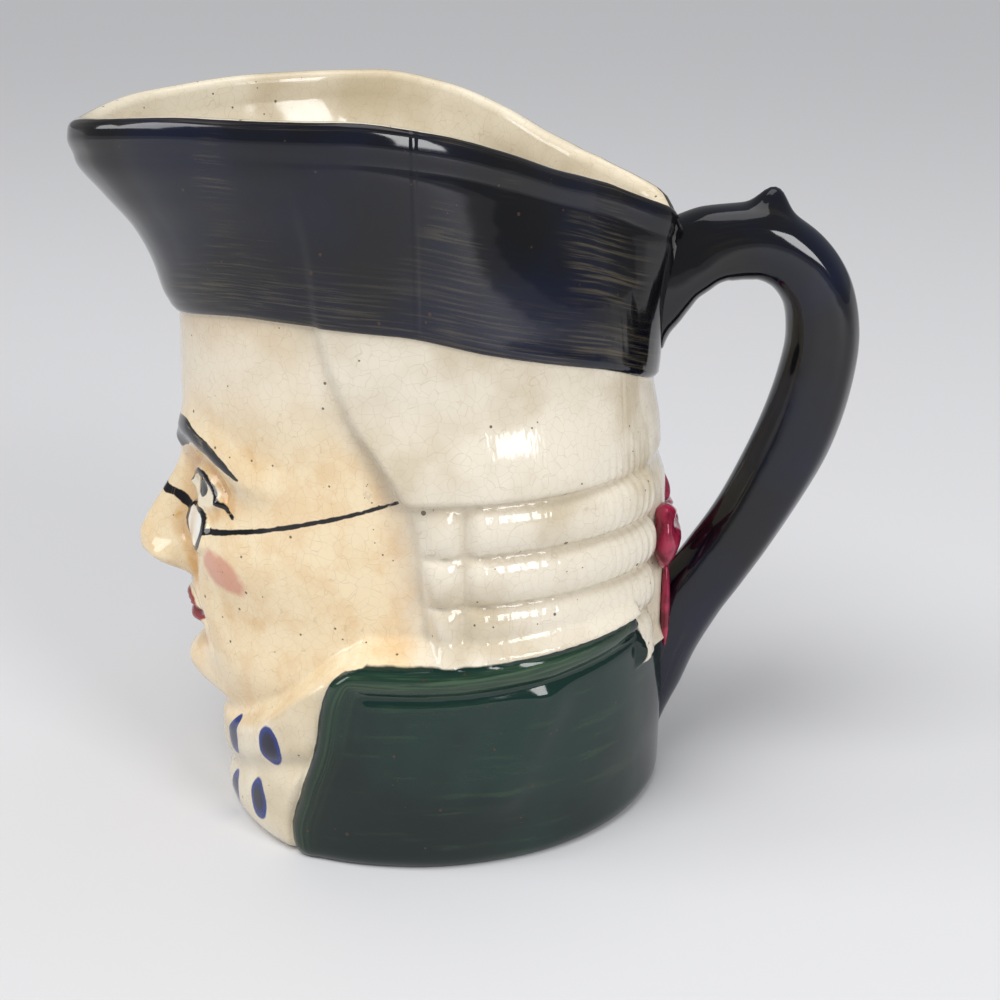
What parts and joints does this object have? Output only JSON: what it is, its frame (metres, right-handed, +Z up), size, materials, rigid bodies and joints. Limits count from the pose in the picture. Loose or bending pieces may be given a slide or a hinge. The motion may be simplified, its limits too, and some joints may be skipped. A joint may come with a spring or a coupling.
{
  "type": "toby jug",
  "caption": "Glazed earthenware jug shaped as a head in a cocked hat on a collared bust, hollow, open through the hat, with a pouring front and a loop handle behind.",
  "frame": {"origin": "under the middle of the jug's length and width, at the level that it stands on", "axes": "+Z up, the face and pouring point look along -Y, the handle is at +Y"},
  "size_m": [0.081, 0.1344, 0.125],
  "materials": {
    "glaze": "gloss"
  },
  "bodies": {
    "root": {"jug": "glaze"}
  },
  "joints": []
}
